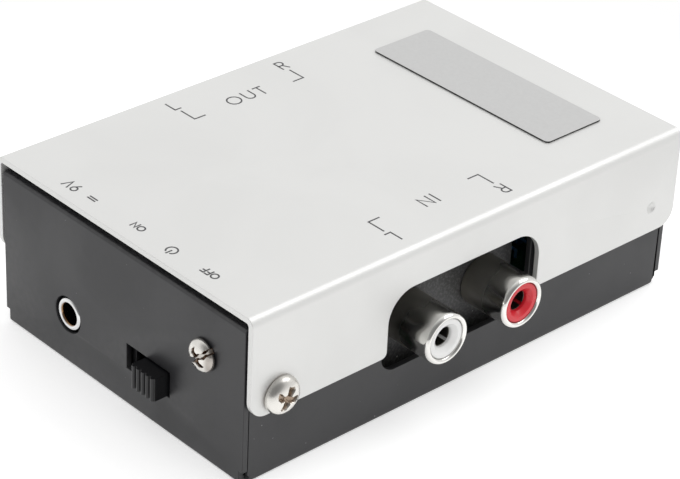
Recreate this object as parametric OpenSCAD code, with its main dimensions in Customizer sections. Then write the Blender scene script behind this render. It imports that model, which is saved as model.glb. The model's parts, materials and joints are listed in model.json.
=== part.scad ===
// Phono preamp in a folded steel case. A black tray carries the circuit board,
// a silver cover slips over it, and the pieces plug and screw together as listed
// in NODES. Z is up and the origin is the centre of the underside. The power
// socket and the switch face +Y, the input sockets -X and the output sockets +X.

/* [Case] */
// Length of the cover
case_l = 90; // [84:1:140]
// Width over the cover's skirts
case_w = 60.4; // [58:0.2:100]
// Height of the cover's top above the table
case_h = 29.2; // [27:0.2:45]
// Sheet thickness of the cover
cover_t = 1; // [0.8:0.1:1.5]
// Inner radius of the cover's bends
cover_bend_in = 0.5; // [0.1:0.1:2]
// Height of the skirts' lower edge above the table
skirt_z = 12.1; // [6:0.1:16]
// Radius of the skirts' lower corners
skirt_corner_r = 3; // [1:0.5:6]
// Sideways clearance between a skirt and the tray
side_fit = 0.5; // [0.05:0.05:1]
// Gap between the tray's top edges and the cover
top_gap = 1.3; // [0.3:0.1:2]
// How far the cover stands past each end of the tray
overhang = 0; // [0:0.1:2]

/* [Tray] */
// Sheet thickness of the tray
tray_t = 1; // [0.8:0.1:1.5]
// Inner radius of the floor's bends
floor_bend_in = 0.2; // [0.1:0.1:0.8]
// Inner radius of the end plates' top bends
end_bend_in = 0.2; // [0.1:0.1:0.8]
// Outer radius of all the tray's bends
tray_bend_out = 0.6; // [0.3:0.1:0.8]
// Height of the end plates' narrower feet
foot_h = 2.2; // [2:0.1:4]
// How far the feet stay back from the plates' side edges
foot_in = 0.8; // [0.3:0.1:1.4]
// Depth of the lips folded in along the end plates' tops
lip_l = 5; // [3:0.5:10]
// Gap between an end plate and the sides that butt against it
corner_gap = 0.1; // [0.05:0.05:0.3]

/* [Cover fixings] */
// Diameter of all the machine screws
screw_d = 3; // [2.5:0.5:4]
// Distance of the cover screws from the cover's end
cover_screw_in = 5.4; // [4.5:0.1:8]
// Height of the cover screws
cover_screw_z = 14.9; // [14:0.1:24]
// Diameter of a cover screw's head
cover_head_d = 6.2; // [5:0.1:7]
// Height of a cover screw's head
cover_head_h = 2.1; // [1.5:0.1:3]
// Distance of the locating dimples from the cover's other end
dimple_in = 5.6; // [4:0.1:10]
// Height of the locating dimples
dimple_z = 16.8; // [14:0.1:24]

/* [Label plate] */
// Width of the plate, across the case
label_w = 40.2; // [20:0.2:46]
// Depth of the plate, along the case
label_d = 12.6; // [8:0.2:20]
// Thickness of the plate
label_t = 0.3; // [0.2:0.1:1]
// Distance of the plate from the cover's end
label_in = 8; // [4:0.1:12]

/* [Phono sockets] */
// Distance between the two sockets of a pair
jack_pitch = 16; // [14:0.5:20]
// Place of a pair's middle along the case
jack_y = 2.5; // [0:0.1:6]
// Height of the sockets' axes
jack_z = 14.4; // [14:0.1:16]
// Outer diameter of a socket's metal shell
shell_d = 8.5; // [8:0.1:9]
// How far a shell stands out past the tray's side
shell_reach = 6.2; // [4:0.1:10]
// Width of the opening that a plug's pin goes into
pin_bore_d = 3.4; // [3.3:0.05:3.6]
// How far the moulded housing's face lies behind the tray's side
face_depth = 3.2; // [3:0.1:6]
// Space beside the outer sockets in the case's cut-outs
cut_side = 7.9; // [6:0.05:9]
// Top of the cover's cut-outs
cut_top_z = 22.7; // [21:0.1:26]
// Radius of the cover's cut-out corners
cut_r = 5; // [1:0.5:7]
// Bottom of the tray's notches
notch_z = 8; // [6:0.1:9]
// Radius of the notches' corners
notch_r = 3; // [1:0.5:5]

/* [Power socket] */
// Height of the power socket and switch above the table
panel_z = 8.8; // [7.5:0.1:9.4]
// Place of the power socket across the case
dc_x = 12.6; // [10:0.1:16]
// Diameter of the plug that the socket takes, with its clearance
dc_bore_d = 3.6; // [3.5:0.05:4]
// Outer diameter of the socket's bushing
dc_bushing_d = 5.5; // [5:0.1:6]
// How far the bushing stands out of the end plate, or is sunk where it is negative
dc_proud = -0.1; // [-0.5:0.1:2]

/* [Power switch] */
// Place of the switch's middle across the case
switch_x = -6.9; // [-10:0.05:-5]
// Width of the sliding knob
knob_w = 5.4; // [4:0.1:7]
// Height of the sliding knob
knob_h = 4; // [3:0.1:4.4]
// How far the knob stands out of the end plate
knob_reach = 2.9; // [2:0.1:6]
// How far the knob slides from off to on
knob_travel = 4.2; // [3:0.1:5]

/* [Ground terminal] */
// Place of the ground screw across the case
ground_x = -19.8; // [-22:0.1:-17]
// Height of the ground screw
ground_z = 18.4; // [15:0.1:22]
// Diameter of the ground screw's head
ground_head_d = 5.3; // [5:0.1:6]
// Height of the ground screw's head
ground_head_h = 1.6; // [1.2:0.1:2]

/* [Circuit board] */
// Thickness of the board
board_t = 1.6; // [1:0.1:2]
// Height of the board's top above the table
board_top = 5; // [4.4:0.1:5.4]
// Gap between the board and the tray's sides and ends
board_gap = 1.5; // [1:0.1:3]

/* [Hidden] */
$fn = 64;
e = 0.01;                    // overshoot of a cut past the face it starts from

// Clearances
turn_fit = 0.05;             // radial clearance of a screw in its thread's bore
hole_fit = 0.2;              // radial clearance of a screw in a plain hole
seat_fit = 0.05;             // clearance between pieces pressed into each other
knob_side = 0.3;             // gap at each end of the knob's travel
knob_top = 0.2;              // gap above and below the knob
switch_gap = 0.5;            // gap between the end plate and the switch
dc_gap = 0.3;                // gap between the end plate and the power socket's body
bushing_fit = 0.35;          // radial clearance of the bushing in the end plate
pin_fit = 0.1;               // radial clearance of a pin in the board

// Case
cover_bend_r = cover_bend_in + cover_t;      // outer radius of the cover's bends
floor_bend_r = floor_bend_in + tray_t;       // sizes of the tray's bends, across both legs
end_bend_r = end_bend_in + tray_t;
tray_l = case_l - 2 * overhang;
tray_w = case_w - 2 * (cover_t + side_fit);
tray_top = case_h - cover_t - top_gap;
side_x = tray_w / 2;                         // outer face of the tray's side
end_y = tray_l / 2;                          // outer face of an end plate
slit = 0.2;                                  // gap that frees two bends at a corner
wall_y = end_y - tray_t - corner_gap;        // where a side ends, behind the end plate
bend_y = end_y - floor_bend_r - slit;        // where a side's floor bend ends
wall_top_z = tray_top - tray_t - slit;       // top of the sides, under the lips
cut_w = jack_pitch + 2 * cut_side;
notch_step = 0.4;                            // the notch's edges show inside the cover's
notch_w = cut_w - 2 * notch_step;
cover_screw_y = case_l / 2 - cover_screw_in;
dimple_y = -case_l / 2 + dimple_in;
screw_r = screw_d / 2;
slot_w = knob_w + knob_travel + 2 * knob_side;
slot_h = knob_h + 2 * knob_top;

// Board
board_w = 2 * (side_x - tray_t - board_gap);
board_l = 2 * (end_y - tray_t - board_gap);
board_z = board_top - board_t;
standoff_in = 4;                             // from the board's edges to a standoff
standoff_x = board_w / 2 - standoff_in;
standoff_y = board_l / 2 - standoff_in;
clinch_r = 2.05;                             // a standoff's foot in the floor

// Phono socket pairs, drawn on the +X side
face_x = side_x - face_depth;                // front of the moulded housing
tip_x = side_x + shell_reach;                // front of the shells
jack_body_d = 11;
jack_front_t = 2.2;                          // the housing's front wall
jack_wall = 1.2;                             // its other walls
back_x = face_x - jack_body_d;
shell_r = shell_d / 2;
shell_t = 0.4;
neck_r = shell_r - 0.3;                      // a shell's neck through the front wall
flange_r = shell_r + 0.6;                    // a shell's flange behind the front wall
chamber_w = 2 * (flange_r + 0.75);
chamber_top = flange_r + 0.15;               // above the axes
jack_over = chamber_top + jack_wall;
jack_body_w = jack_pitch + chamber_w + 2 * jack_wall;
lip_r = 0.45;                                // rounding of a shell's rolled lip
window_r = shell_r - 2 * lip_r;              // opening inside the lip
rear_x = face_x - jack_front_t - seat_fit - shell_t;
contact_t = 0.4;
grip = 0.03;                                 // a contact's bore is this much tighter
contact_in = 1.5;                            // depth of a contact behind the lip
tail_x = face_x - 5;
peg_x = face_x - 8.5;
peg_y = jack_body_w / 2 - jack_wall / 2;
peg_r = 0.6;
peg_short = 0.2;                             // a peg ends this much above the board's underside
pin_r = 0.4;
lug_x = face_x - jack_front_t - seat_fit - pin_r;

// Power switch, with its front towards +Y
switch_front = end_y - tray_t - switch_gap;
switch_d = 6.2;
switch_wall = 0.8;
slider_w = knob_w + 2.1;
switch_in_w = slider_w + knob_travel + 2 * knob_side;
switch_w = switch_in_w + 2 * switch_wall;
switch_h = 2 * (panel_z - board_top);
chamber_h = knob_h + 0.8;                    // inner height of the switch's housing
stem_w = knob_w - 1;                         // the knob's stem in the housing's window
stem_h = knob_h - 1;
knob_x = switch_x - knob_travel / 2;         // the knob rests in its off place
slider_y = switch_front - switch_wall - knob_side;
slider_d = 2;
base_d = 1;
face_t = 0.25;                               // thickness of a terminal's contact face
rivet_r = 0.5;
base_y = switch_front - switch_d;
terminal_pitch = knob_travel;
terminal_y = base_y - pin_r - seat_fit;      // middle of the terminals' strips
strip_t = 0.4;

// Power socket, with its front towards +Y
dc_front = end_y - tray_t - dc_gap;
dc_body_w = 9;
dc_body_d = 12;
dc_bushing_l = 6.8;
dc_pin_h = 1.3;                              // height of the pins inside the body

// Small parts on the board: places of their middles
supply_y = end_y - 20;                       // row behind the power socket and switch
first_resistor_y = jack_y - jack_body_w / 2 - 4;
resistor_step = 3.2;
resistor_rows = 6;
resistor_x = 9;
resistor_span = 10.16;
side_cap_x = back_x - 4.6;
film_span = 5.08;
film_places = [for (sx = [-1, 1], sy = [-1, 1]) [sx * side_cap_x, jack_y + sy * 9]];
disc_span = 5.08;
disc_places = [for (sx = [-1, 1]) [sx * side_cap_x, jack_y]];
resistor_places = [for (sx = [-1, 1], i = [0 : resistor_rows - 1])
    [sx * resistor_x, first_resistor_y - i * resistor_step]];
can_span = 2.5;
can_h = 11;
can_places = [[0, jack_y + 10.5, 2.5], [0, jack_y - 10.5, 2.5],
    [0, supply_y, 3.15], [-8, supply_y, 3.15], [17.5, supply_y, 4]];
diode_place = [9.5, supply_y];
diode_span = 10.16;
dip_pitch = 2.54;
dip_row = 7.62;

// ---------- helpers ----------

// A drawing in Y and Z, carried along X and centred
module along_x(length)
    rotate([90, 0, 90]) linear_extrude(length, center = true) children();

// A drawing in X and Z, carried along Y and centred
module along_y(length)
    rotate([90, 0, 0]) linear_extrude(length, center = true) children();

// A round bar along X from x = 0 towards +X
module rod_x(r, length)
    rotate([0, 90, 0]) cylinder(r = r, h = length);

// A round bar along Y from y = 0 towards -Y
module rod_y(r, length)
    rotate([90, 0, 0]) cylinder(r = r, h = length);

// The same thing at both ends or on both sides
module both_x() { children(); mirror([1, 0, 0]) children(); }
module both_y() { children(); mirror([0, 1, 0]) children(); }

// What rounding takes off a corner whose material lies in +x +y
module corner_cut(r)
    difference() {
        translate([-e, -e]) square(r + e);
        translate([r, r]) circle(r);
    }

// A sheet's bend of thickness t in the +x +y corner, r across and rounded by outer
module bend(r, t, outer)
    difference() {
        square(r);
        translate([r, r]) rotate(180) corner_cut(outer);
        circle(r - t);
    }

// A rectangle standing on the x axis, centred, with its lower corners rounded
module notch(w, h, r)
    difference() {
        translate([-w / 2, 0]) square([w, h]);
        both_x() translate([-w / 2, 0]) corner_cut(r);
    }

// The same thing at each of the board's four standoffs
module at_standoffs()
    for (sx = [-1, 1], sy = [-1, 1])
        translate([sx * standoff_x, sy * standoff_y, 0]) children();

// A pin that goes down through the board, with its top at z
module board_pin(x, y, z, r = pin_r)
    translate([x, y, board_z - 1]) cylinder(r = r, h = z - board_z + 1);

// The two leads of an upright or lying part, spaced along X or Y
module lead_pair(place, span, z, along_y = false)
    for (s = [-1, 1])
        board_pin(place[0] + (along_y ? 0 : s * span / 2),
            place[1] + (along_y ? s * span / 2 : 0), z);

// ---------- case ----------

// Outline of the tray's +X side above its bend, open at the top for the sockets
module tray_side_outline()
    difference() {
        translate([-wall_y, floor_bend_r]) square([2 * wall_y, wall_top_z - floor_bend_r]);
        translate([jack_y, notch_z]) notch(notch_w, tray_top, notch_r);
        both_x() translate([-wall_y, floor_bend_r]) corner_cut(wall_y - bend_y);
    }

// The +X side with its floor bend
module tray_side() {
    translate([side_x - tray_t / 2, 0, 0]) along_x(tray_t) tray_side_outline();
    translate([side_x - floor_bend_r, 0, floor_bend_r])
        along_y(2 * bend_y) rotate(-90) bend(floor_bend_r, tray_t, tray_bend_out);
}

// Outline of an end plate between its two bends, narrower at its foot
module end_plate_outline() {
    foot_x = side_x - foot_in;
    translate([-foot_x, floor_bend_r]) square([2 * foot_x, foot_h - floor_bend_r]);
    translate([-side_x, foot_h]) square([2 * side_x, tray_top - end_bend_r - foot_h]);
}

// The +Y end plate: floor bend, plate as wide as the tray, top bend and lip
module end_plate() {
    translate([0, end_y - tray_t / 2, 0]) along_y(tray_t) end_plate_outline();
    translate([0, end_y - floor_bend_r, floor_bend_r]) along_x(2 * (side_x - foot_in))
        rotate(-90) bend(floor_bend_r, tray_t, tray_bend_out);
    translate([0, end_y - end_bend_r, tray_top - end_bend_r]) along_x(2 * side_x) {
        bend(end_bend_r, tray_t, tray_bend_out);
        translate([-lip_l, end_bend_r - tray_t]) square([lip_l, tray_t]);
    }
}

module tray() {
    dimple_hole_r = 1.7;
    collar_h = 0.8;
    collar_t = 0.65;
    collar_x = side_x - tray_t - collar_h;
    floor_x = side_x - floor_bend_r;
    floor_y = end_y - floor_bend_r;
    color([0.13, 0.13, 0.14]) difference() {
        union() {
            translate([-floor_x, -floor_y, 0]) cube([2 * floor_x, 2 * floor_y, tray_t]);
            both_x() tray_side();
            both_y() end_plate();
            both_x() translate([collar_x, cover_screw_y, cover_screw_z])
                rod_x(screw_r + collar_t, collar_h + e);
        }
        // switch slot, power socket and ground screw in the +Y end plate
        translate([switch_x, end_y - tray_t / 2, panel_z])
            cube([slot_w, 2 * tray_t, slot_h], center = true);
        translate([dc_x, end_y + e, panel_z])
            rod_y(dc_bushing_d / 2 + bushing_fit, tray_t + 2 * e);
        translate([ground_x, end_y + e, ground_z]) rod_y(screw_r + hole_fit, tray_t + 2 * e);
        // the sides' threaded collars for the cover screws, and the holes for the dimples
        both_x() translate([collar_x - e, cover_screw_y, cover_screw_z])
            rod_x(screw_r + turn_fit, tray_t + collar_h + 2 * e);
        both_x() translate([side_x - tray_t - e, dimple_y, dimple_z])
            rod_x(dimple_hole_r, tray_t + 2 * e);
        // seats of the clinched standoffs
        at_standoffs() translate([0, 0, -e]) cylinder(r = clinch_r + seat_fit, h = tray_t + 2 * e);
    }
}

// The cover's skirts, bends and top as one folded strip
module cover_strip() {
    both_x() {
        translate([case_w / 2 - cover_t, skirt_z]) square([cover_t, case_h - cover_bend_r - skirt_z]);
        translate([case_w / 2 - cover_bend_r, case_h - cover_bend_r])
            bend(cover_bend_r, cover_t, cover_bend_r);
    }
    translate([-(case_w / 2 - cover_bend_r), case_h - cover_t])
        square([case_w - 2 * cover_bend_r, cover_t]);
}

// Outline of the skirts, with the arch that closes a notch from above
module cover_outline() {
    arch_foot_r = 1;
    difference() {
        translate([-case_l / 2, skirt_z]) square([case_l, case_h - skirt_z + e]);
        both_x() translate([-case_l / 2, skirt_z]) corner_cut(skirt_corner_r);
        translate([jack_y, cut_top_z]) mirror([0, 1]) notch(cut_w, cut_top_z - skirt_z + e, cut_r);
        translate([jack_y, skirt_z]) both_x() translate([cut_w / 2, 0]) corner_cut(arch_foot_r);
    }
}

// A dimple pressed in from the outside: the bump that it raises on the inside
module dimple_bump() {
    bump_r = 2.175;
    bump_h = side_fit + 0.5;     // it ends this far inside the tray's hole
    intersection() {
        translate([bump_r - bump_h, 0, 0]) sphere(bump_r);
        translate([-bump_h - 1, -3, -3]) cube([bump_h + 1 + cover_t / 2, 6, 6]);
    }
}

module cover() {
    dent_r = 1.25;
    dent_depth = 0.5;
    color([0.89, 0.89, 0.88]) difference() {
        union() {
            intersection() {
                along_y(case_l) cover_strip();
                along_x(case_w + 2) cover_outline();
            }
            both_x() translate([case_w / 2 - cover_t, dimple_y, dimple_z]) dimple_bump();
        }
        both_x() translate([case_w / 2 + dent_r - dent_depth, dimple_y, dimple_z]) sphere(dent_r);
        both_x() translate([case_w / 2 - cover_t - e, cover_screw_y, cover_screw_z])
            rod_x(screw_r + hole_fit, cover_t + 2 * e);
    }
}

module label_plate() {
    corner_r = 0.8;
    y = -case_l / 2 + label_in + label_d / 2;
    color([0.78, 0.78, 0.77]) translate([0, y, case_h]) linear_extrude(label_t) difference() {
        square([label_w, label_d], center = true);
        both_x() both_y() translate([-label_w / 2, -label_d / 2]) corner_cut(corner_r);
    }
}

// ---------- fasteners ----------

// A domed head over z = 0
module pan_head(head_d, head_h) {
    rim_h = head_h * 0.45;
    dome_h = head_h - rim_h;
    head_r = head_d / 2;
    dome_r = (head_r * head_r + dome_h * dome_h) / (2 * dome_h);
    intersection() {
        cylinder(r = head_r, h = head_h);
        translate([0, 0, head_h - dome_r]) sphere(dome_r);
    }
}

// A pan head over z = 0 with a cross recess, and a shank below it
module pan_screw(head_d, head_h, length) {
    recess_l = head_d * 0.5;
    difference() {
        pan_head(head_d, head_h);
        for (a = [0, 90])
            rotate(a) translate([-recess_l / 2, -0.4, head_h * 0.45]) cube([recess_l, 0.8, head_h]);
    }
    translate([0, 0, -length]) cylinder(r = screw_r, h = length + e);
}

module cover_screws()
    color([0.8, 0.79, 0.75]) both_x()
        translate([case_w / 2, cover_screw_y, cover_screw_z]) rotate([0, 90, 0])
            pan_screw(cover_head_d, cover_head_h, 5);

module board_standoffs() {
    standoff_r = 2.9;
    clinch_rise = 0.1;           // the clinched foot ends this much above the table
    color([0.7, 0.7, 0.68]) at_standoffs() difference() {
        union() {
            translate([0, 0, tray_t]) cylinder(r = standoff_r, h = board_z - tray_t, $fn = 6);
            translate([0, 0, clinch_rise]) cylinder(r = clinch_r, h = tray_t);
        }
        translate([0, 0, -e]) cylinder(r = screw_r + turn_fit, h = board_top);
    }
}

module board_screws() {
    head_d = 5.4;
    head_h = 1.8;
    end_z = 0.6;
    color([0.75, 0.74, 0.7]) at_standoffs()
        translate([0, 0, board_top]) pan_screw(head_d, head_h, board_top - end_z);
}

// Terminal screw for a ground wire, free to turn in its nut, with a combination recess
module ground_screw() {
    slot_t = 0.9;
    slot_depth = 0.8;
    slot_turn = 38;
    bar_l = 3.2;                     // the short bar across the slot
    shank_l = 6;
    color([0.78, 0.77, 0.73]) translate([ground_x, end_y + turn_fit, ground_z]) rotate([-90, 0, 0]) {
        difference() {
            pan_head(ground_head_d, ground_head_h);
            translate([0, 0, ground_head_h]) rotate(slot_turn) {
                cube([2 * ground_head_d, slot_t, 2 * slot_depth], center = true);
                cube([slot_t, bar_l, 2 * slot_depth], center = true);
            }
        }
        translate([0, 0, -shank_l]) cylinder(r = screw_r, h = shank_l + e);
    }
}

// Nut clinched into the back of the end plate, which holds the screw
module ground_nut() {
    across = 5.5;
    nut_h = 2.4;
    color([0.72, 0.71, 0.67]) translate([ground_x, end_y - tray_t, ground_z]) difference() {
        rotate([90, 0, 0]) rotate(30) cylinder(r = across / sqrt(3), h = nut_h, $fn = 6);
        translate([0, e, 0]) rod_y(screw_r + turn_fit, nut_h + 2 * e);
    }
}

// ---------- phono sockets, drawn on the +X side ----------

// What is made once for each socket of a pair
module each_jack()
    for (s = [-1, 1])
        translate([0, jack_y + s * jack_pitch / 2, jack_z]) children();

// Moulded housing of a pair: a front wall, a chamber behind each socket and two pegs
module jack_housing() {
    front_shelf = 3;
    step = 0.8;
    waist_w = jack_pitch - chamber_w - 2 * jack_wall;
    body_h = jack_z + jack_over - board_top;
    color([0.09, 0.09, 0.1]) difference() {
        union() {
            translate([back_x, jack_y - jack_body_w / 2, board_top])
                cube([jack_body_d, jack_body_w, body_h]);
            for (s = [-1, 1])
                translate([peg_x, jack_y + s * peg_y, board_z + peg_short])
                    cylinder(r = peg_r, h = board_t);
        }
        // each socket's bore and the chamber behind it, open behind and below
        each_jack() translate([face_x - jack_front_t - e, 0, 0])
            rod_x(neck_r + seat_fit, jack_front_t + 2 * e);
        each_jack() translate([back_x - e, -chamber_w / 2, board_top - jack_z - e])
            cube([jack_body_d - jack_front_t + e, chamber_w, jack_z - board_top + chamber_top + e]);
        // stepped top behind the front shelf
        translate([back_x - e, jack_y - jack_body_w, jack_z + jack_over - step])
            cube([jack_body_d - front_shelf, 2 * jack_body_w, 2 * step]);
        // the waist between the two chambers
        translate([back_x - e, jack_y - waist_w / 2, board_top - e])
            cube([jack_body_d - jack_front_t + e, waist_w, jack_z - board_top + chamber_top]);
    }
}

// Half section of a drawn shell: flange, neck, shoulder on the housing, barrel and rolled lip
module shell_section() {
    shoulder_x = face_x + seat_fit;
    inner_r = neck_r - shell_t;
    translate([inner_r, rear_x]) square([flange_r - inner_r, shell_t]);
    translate([inner_r, rear_x]) square([shell_t, shoulder_x + shell_t - rear_x]);
    translate([inner_r, shoulder_x]) square([shell_r - inner_r, shell_t]);
    translate([shell_r - shell_t, shoulder_x]) square([shell_t, tip_x - lip_r - shoulder_x]);
    translate([shell_r - lip_r, tip_x - lip_r]) circle(lip_r);
}

// The two shells of a pair, each with a ground lug into the board
module jack_shells() {
    lug_w = 2.2;
    color([0.82, 0.81, 0.78]) each_jack() {
        rotate([0, 90, 0]) rotate_extrude() shell_section();
        translate([rear_x, -lug_w / 2, board_top + 0.2 - jack_z])
            cube([shell_t, lug_w, jack_z - board_top - 0.2 - flange_r + 0.3]);
        translate([lug_x, 0, board_z - 1 - jack_z]) cylinder(r = pin_r, h = board_t + 1.6);
    }
}

// One coloured insulator: a plug inside the shell, countersunk round the pin's hole
module jack_insulator(s) {
    plug_x = face_x - 3.6;
    shoulder_x = face_x + seat_fit + shell_t + seat_fit;
    neck_x = tip_x - 2 * lip_r - seat_fit;
    front_x = tip_x - 0.35;
    sink_depth = 0.6;
    bore_r = pin_bore_d / 2;
    contact_r = bore_r + contact_t;
    translate([0, jack_y + s * jack_pitch / 2, jack_z]) rotate([0, 90, 0]) difference() {
        union() {
            translate([0, 0, plug_x]) cylinder(r = neck_r - shell_t - seat_fit, h = shoulder_x - plug_x + e);
            translate([0, 0, shoulder_x]) cylinder(r = shell_r - shell_t - seat_fit, h = neck_x - shoulder_x);
            translate([0, 0, neck_x - e]) cylinder(r = window_r - seat_fit, h = front_x - neck_x + e);
        }
        translate([0, 0, plug_x - 1]) cylinder(r = bore_r, h = tip_x - plug_x + 2);
        translate([0, 0, plug_x - e]) cylinder(r = contact_r + seat_fit, h = tip_x - contact_in - plug_x + e);
        translate([0, 0, front_x - sink_depth])
            cylinder(r1 = bore_r, r2 = bore_r + sink_depth, h = sink_depth + e);
    }
}

// Split socket contacts that grip a plug's pin, each with its tail into the board
module jack_contacts() {
    bore_r = pin_bore_d / 2 - grip;
    contact_r = pin_bore_d / 2 + contact_t;
    front_x = tip_x - contact_in - 0.1;
    split_l = 5;
    split_w = 0.5;
    tail_w = 1.6;
    color([0.83, 0.7, 0.4]) each_jack() {
        rotate([0, 90, 0]) difference() {
            translate([0, 0, tail_x]) cylinder(r = contact_r, h = front_x - tail_x);
            translate([0, 0, tail_x + contact_t]) cylinder(r = bore_r, h = tip_x - tail_x);
            for (a = [45, 135])
                rotate(a) translate([-contact_r - 1, -split_w / 2, front_x - split_l])
                    cube([2 * contact_r + 2, split_w, split_l + 1]);
        }
        translate([tail_x, -tail_w / 2, board_top + 0.2 - jack_z])
            cube([contact_t, tail_w, jack_z - board_top - 0.2 - contact_r + 0.4]);
        translate([tail_x + contact_t / 2, 0, board_z - 1 - jack_z]) cylinder(r = pin_r, h = board_t + 1.6);
    }
}

module output_jack_housing() jack_housing();
module output_jack_shells() jack_shells();
module output_jack_insulator_white() color([0.93, 0.93, 0.91]) jack_insulator(1);
module output_jack_insulator_red() color([0.78, 0.1, 0.09]) jack_insulator(-1);
module output_jack_contacts() jack_contacts();
module input_jack_housing() mirror([1, 0, 0]) jack_housing();
module input_jack_shells() mirror([1, 0, 0]) jack_shells();
module input_jack_insulator_white() color([0.93, 0.93, 0.91]) mirror([1, 0, 0]) jack_insulator(1);
module input_jack_insulator_red() color([0.78, 0.1, 0.09]) mirror([1, 0, 0]) jack_insulator(-1);
module input_jack_contacts() mirror([1, 0, 0]) jack_contacts();

// ---------- power socket ----------

// Places of the power socket's pins behind its front face
dc_pins = [[0, 10.6], [-3.2, 6.4], [3.2, 6.4]];

module power_socket_body() {
    body_h = 2 * (panel_z - board_top);
    bushing_in = dc_bushing_l - dc_proud - tray_t - dc_gap;
    slot_l = 2.4;
    slot_in = 0.8;
    slot_back = 7.6;
    dc_room = 0.45;              // room round the plug behind the bushing
    color([0.08, 0.08, 0.09]) difference() {
        translate([dc_x - dc_body_w / 2, dc_front - dc_body_d, board_top])
            cube([dc_body_w, dc_body_d, body_h]);
        translate([dc_x, dc_front + e, panel_z])
            rod_y(dc_bushing_d / 2 + seat_fit, bushing_in + seat_fit + e);
        translate([dc_x, dc_front + e, panel_z]) rod_y(dc_bore_d / 2 + dc_room, dc_body_d - 1);
        // slots for the side contacts
        both_sides_of_dc() translate([dc_body_w / 2 - slot_in, -slot_back, -e])
            cube([slot_in + e, slot_l, body_h - 1]);
        for (p = dc_pins)
            translate([dc_x + p[0], dc_front - p[1], board_top - e])
                cylinder(r = pin_r + seat_fit, h = dc_pin_h + seat_fit + e);
    }
}

// Mirrors a shape about the power socket's axis, from its front at board level
module both_sides_of_dc()
    translate([dc_x, dc_front, board_top]) both_x() children();

module power_socket_bushing() {
    rim = 0.25;
    color([0.83, 0.82, 0.79]) translate([dc_x, end_y + dc_proud, panel_z]) rotate([90, 0, 0]) difference() {
        union() {
            translate([0, 0, rim]) cylinder(r = dc_bushing_d / 2, h = dc_bushing_l - rim);
            cylinder(r1 = dc_bushing_d / 2 - rim, r2 = dc_bushing_d / 2, h = rim);
        }
        translate([0, 0, -e]) cylinder(r = dc_bore_d / 2, h = dc_bushing_l + 2 * e);
        translate([0, 0, -e]) cylinder(r1 = dc_bore_d / 2 + rim, r2 = dc_bore_d / 2, h = rim + e);
    }
}

module power_socket_pins()
    color([0.75, 0.73, 0.68]) for (p = dc_pins)
        board_pin(dc_x + p[0], dc_front - p[1], board_top + dc_pin_h);

// ---------- power switch ----------

module switch_housing() {
    window_w = stem_w + knob_travel + 2 * knob_side;
    color([0.09, 0.09, 0.1]) difference() {
        translate([switch_x - switch_w / 2, base_y, board_top]) cube([switch_w, switch_d, switch_h]);
        // the chamber that the slider runs in, open behind
        translate([switch_x - switch_in_w / 2, base_y - e, panel_z - chamber_h / 2])
            cube([switch_in_w, switch_d - switch_wall + e, chamber_h]);
        // the window that the stem slides in
        translate([switch_x, switch_front, panel_z])
            cube([window_w, 3 * switch_wall, stem_h + 2 * knob_top], center = true);
    }
}

// Terminal plate that closes the back of the housing
module switch_base() {
    base_w = switch_in_w - 2 * seat_fit;
    base_h = chamber_h - 2 * seat_fit;
    color([0.3, 0.2, 0.12]) difference() {
        translate([switch_x - base_w / 2, base_y + seat_fit, panel_z - base_h / 2])
            cube([base_w, base_d, base_h]);
        for (i = [-1 : 1])
            translate([switch_x + i * terminal_pitch, base_y + base_d + 1, panel_z])
                rod_y(rivet_r + seat_fit, base_d + 2);
    }
}

// Three riveted terminals: contact face, rivet, strip and pin
module switch_terminals() {
    strip_w = 1.6;
    head_y = base_y + base_d + 2 * seat_fit;
    color([0.78, 0.76, 0.7]) for (i = [-1 : 1])
        translate([switch_x + i * terminal_pitch, 0, panel_z]) {
            translate([0, head_y + face_t, 0]) rod_y(0.9, face_t);
            translate([0, head_y + e, 0]) rod_y(rivet_r, head_y - terminal_y);
            translate([-strip_w / 2, terminal_y - strip_t / 2, board_top + 0.2 - panel_z])
                cube([strip_w, strip_t, panel_z - board_top + 0.8]);
            translate([0, terminal_y, board_z - 1 - panel_z]) cylinder(r = pin_r, h = board_t + 1.6);
        }
}

// Knob, stem and slider in one moulding, with finger ridges across the knob's face
module switch_knob() {
    ridges = 5;
    ridge_r = 0.38;
    cap_y = switch_front + knob_side;
    face_y = end_y + knob_reach;
    color([0.1, 0.1, 0.11]) translate([knob_x, 0, panel_z]) {
        translate([-slider_w / 2, slider_y - slider_d, knob_top - chamber_h / 2])
            cube([slider_w, slider_d, chamber_h - 2 * knob_top]);
        translate([-stem_w / 2, slider_y - e, -stem_h / 2])
            cube([stem_w, cap_y - slider_y + 2 * e, stem_h]);
        translate([0, 0, -knob_h / 2]) linear_extrude(knob_h) {
            translate([-knob_w / 2, cap_y]) square([knob_w, face_y - ridge_r - cap_y]);
            for (i = [0 : ridges - 1])
                translate([((i + 0.5) / ridges - 0.5) * knob_w, face_y - ridge_r]) circle(ridge_r);
        }
    }
}

// Springy bridge on the slider's back that joins two neighbouring terminals
module switch_wiper() {
    wiper_t = 0.3;
    contact_gap = 0.15;
    contact_y = base_y + 2 * seat_fit + base_d + face_t + contact_gap;
    bridge_w = terminal_pitch + 1.6;
    color([0.83, 0.7, 0.4]) translate([knob_x, 0, panel_z]) {
        translate([-bridge_w / 2, slider_y - slider_d - seat_fit - wiper_t, -0.9])
            cube([bridge_w, wiper_t, 1.8]);
        for (s = [-1, 1])
            translate([s * terminal_pitch / 2, slider_y - slider_d - seat_fit - wiper_t + e, 0])
                rod_y(0.6, slider_y - slider_d - seat_fit - wiper_t - contact_y + e);
    }
}

// ---------- circuit board ----------

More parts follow.
